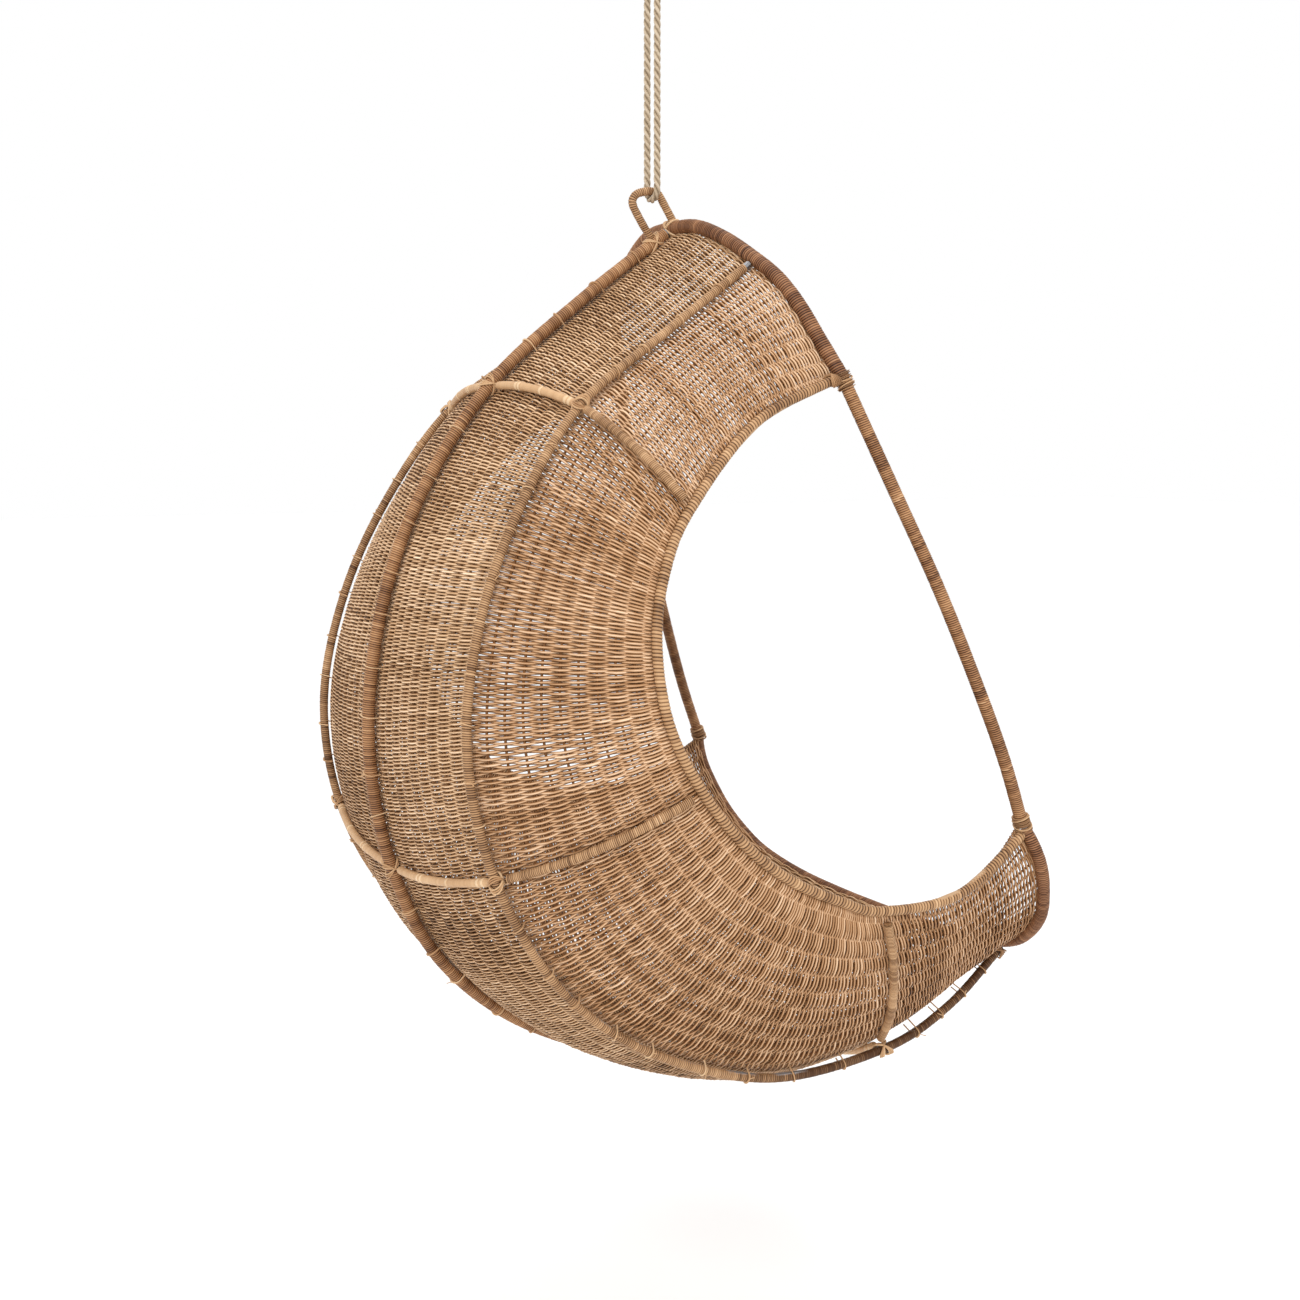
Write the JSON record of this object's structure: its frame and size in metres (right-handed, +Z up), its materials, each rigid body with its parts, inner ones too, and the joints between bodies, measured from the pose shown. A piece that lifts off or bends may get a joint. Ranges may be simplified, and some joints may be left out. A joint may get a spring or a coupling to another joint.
{
  "type": "hanging woven pod chair",
  "caption": "Crescent-shaped woven cane pod chair on a bound tubular frame, hung by a doubled rope, a carabiner and a swivel from a ceiling plate.",
  "frame": {"origin": "centre of the ceiling plate's top face, which meets the ceiling", "axes": "+Z up, +X towards the open front of the seat, +Y towards the sitter's left"},
  "size_m": [0.8865, 0.8938, 1.7059],
  "materials": {
    "plated_steel": "satin zinc plating",
    "washer_brass": "plain",
    "rope_fibre": "twisted natural fibre",
    "arm_rim_pole": "plain rattan pole",
    "frame_steel": "plain tube",
    "back_weave_cane": "natural woven cane, matt",
    "side_weave_cane": "natural woven cane, matt",
    "dark_binding_cane": "dark wound cane, slight sheen",
    "binding_cane": "wound cane, slight sheen",
    "pale_cane": "bare cane, slight sheen"
  },
  "bodies": {
    "ceiling_fitting": {"ceiling_plate": "plated_steel", "swivel_housing": "plated_steel", "thrust_washer": "washer_brass"},
    "eye": {"swivel_eye": "plated_steel"},
    "carabiner": {"carabiner": "plated_steel", "gate_pin": "plated_steel"},
    "gate": {"carabiner_gate": "plated_steel"},
    "rope": {"hanging_rope": "rope_fibre", "rope_splice": "rope_fibre"},
    "chair": {"handle_rod": "frame_steel", "handle_wrap": "binding_cane", "top_bow_tube": "frame_steel", "top_bow_wrap": "dark_binding_cane", "bottom_bow_tube": "frame_steel", "bottom_bow_wrap": "dark_binding_cane", "front_bar_tube_left": "frame_steel", "front_bar_tube_right": "frame_steel", "front_bar_wrap_left": "binding_cane", "front_bar_wrap_right": "binding_cane", "spine_tube": "frame_steel", "spine_wrap": "binding_cane", "side_spar_tube_left": "frame_steel", "side_spar_tube_right": "frame_steel", "side_spar_wrap_left": "binding_cane", "side_spar_wrap_right": "binding_cane", "arm_rim_rod_left": "arm_rim_pole", "arm_rim_rod_right": "arm_rim_pole", "arm_rim_binding_left": "binding_cane", "arm_rim_binding_right": "binding_cane", "upper_hoop_left": "pale_cane", "upper_hoop_right": "pale_cane", "lower_hoop_left": "pale_cane", "lower_hoop_right": "pale_cane", "front_hoop_left": "pale_cane", "front_hoop_right": "pale_cane", "back_weave_upper_left": "back_weave_cane", "back_weave_upper_right": "back_weave_cane", "back_weave_middle_left": "back_weave_cane", "back_weave_middle_right": "back_weave_cane", "back_weave_lower_left": "back_weave_cane", "back_weave_lower_right": "back_weave_cane", "back_weave_front_left": "back_weave_cane", "back_weave_front_right": "back_weave_cane", "side_weave_upper_left": "side_weave_cane", "side_weave_upper_right": "side_weave_cane", "side_weave_middle_left": "side_weave_cane", "side_weave_middle_right": "side_weave_cane", "side_weave_lower_left": "side_weave_cane", "side_weave_lower_right": "side_weave_cane", "side_weave_front_left": "side_weave_cane", "side_weave_front_right": "side_weave_cane", "joint_lashings": "pale_cane", "cane_ties_spine": "pale_cane", "cane_ties_left": "pale_cane", "cane_ties_right": "pale_cane"}
  },
  "joints": [
    {"name": "swivel", "type": "hinge", "parent": "ceiling_fitting", "child": "eye", "pos_m": [0, 0, -0.045], "axis": [0, 0, 1], "continuous": true},
    {"name": "fore_aft_swing", "type": "hinge", "parent": "eye", "child": "carabiner", "pos_m": [0, 0, -0.07], "axis": [0, 1, 0], "range_deg": [-20, 20]},
    {"name": "gate_hinge", "type": "hinge", "parent": "carabiner", "child": "gate", "pos_m": [0.018, 0, -0.109], "axis": [0, -1, 0], "range_deg": [0, 30], "stiffness_Nm_per_rad": 0.02, "springref_deg": -11.46},
    {"name": "sideways_swing", "type": "hinge", "parent": "carabiner", "child": "rope", "pos_m": [0, 0, -0.131], "axis": [1, 0, 0], "range_deg": [-15, 15]},
    {"name": "chair_tilt", "type": "hinge", "parent": "rope", "child": "chair", "pos_m": [0, 0, -0.4284], "axis": [0, 1, 0], "range_deg": [-12, 12]}
  ]
}
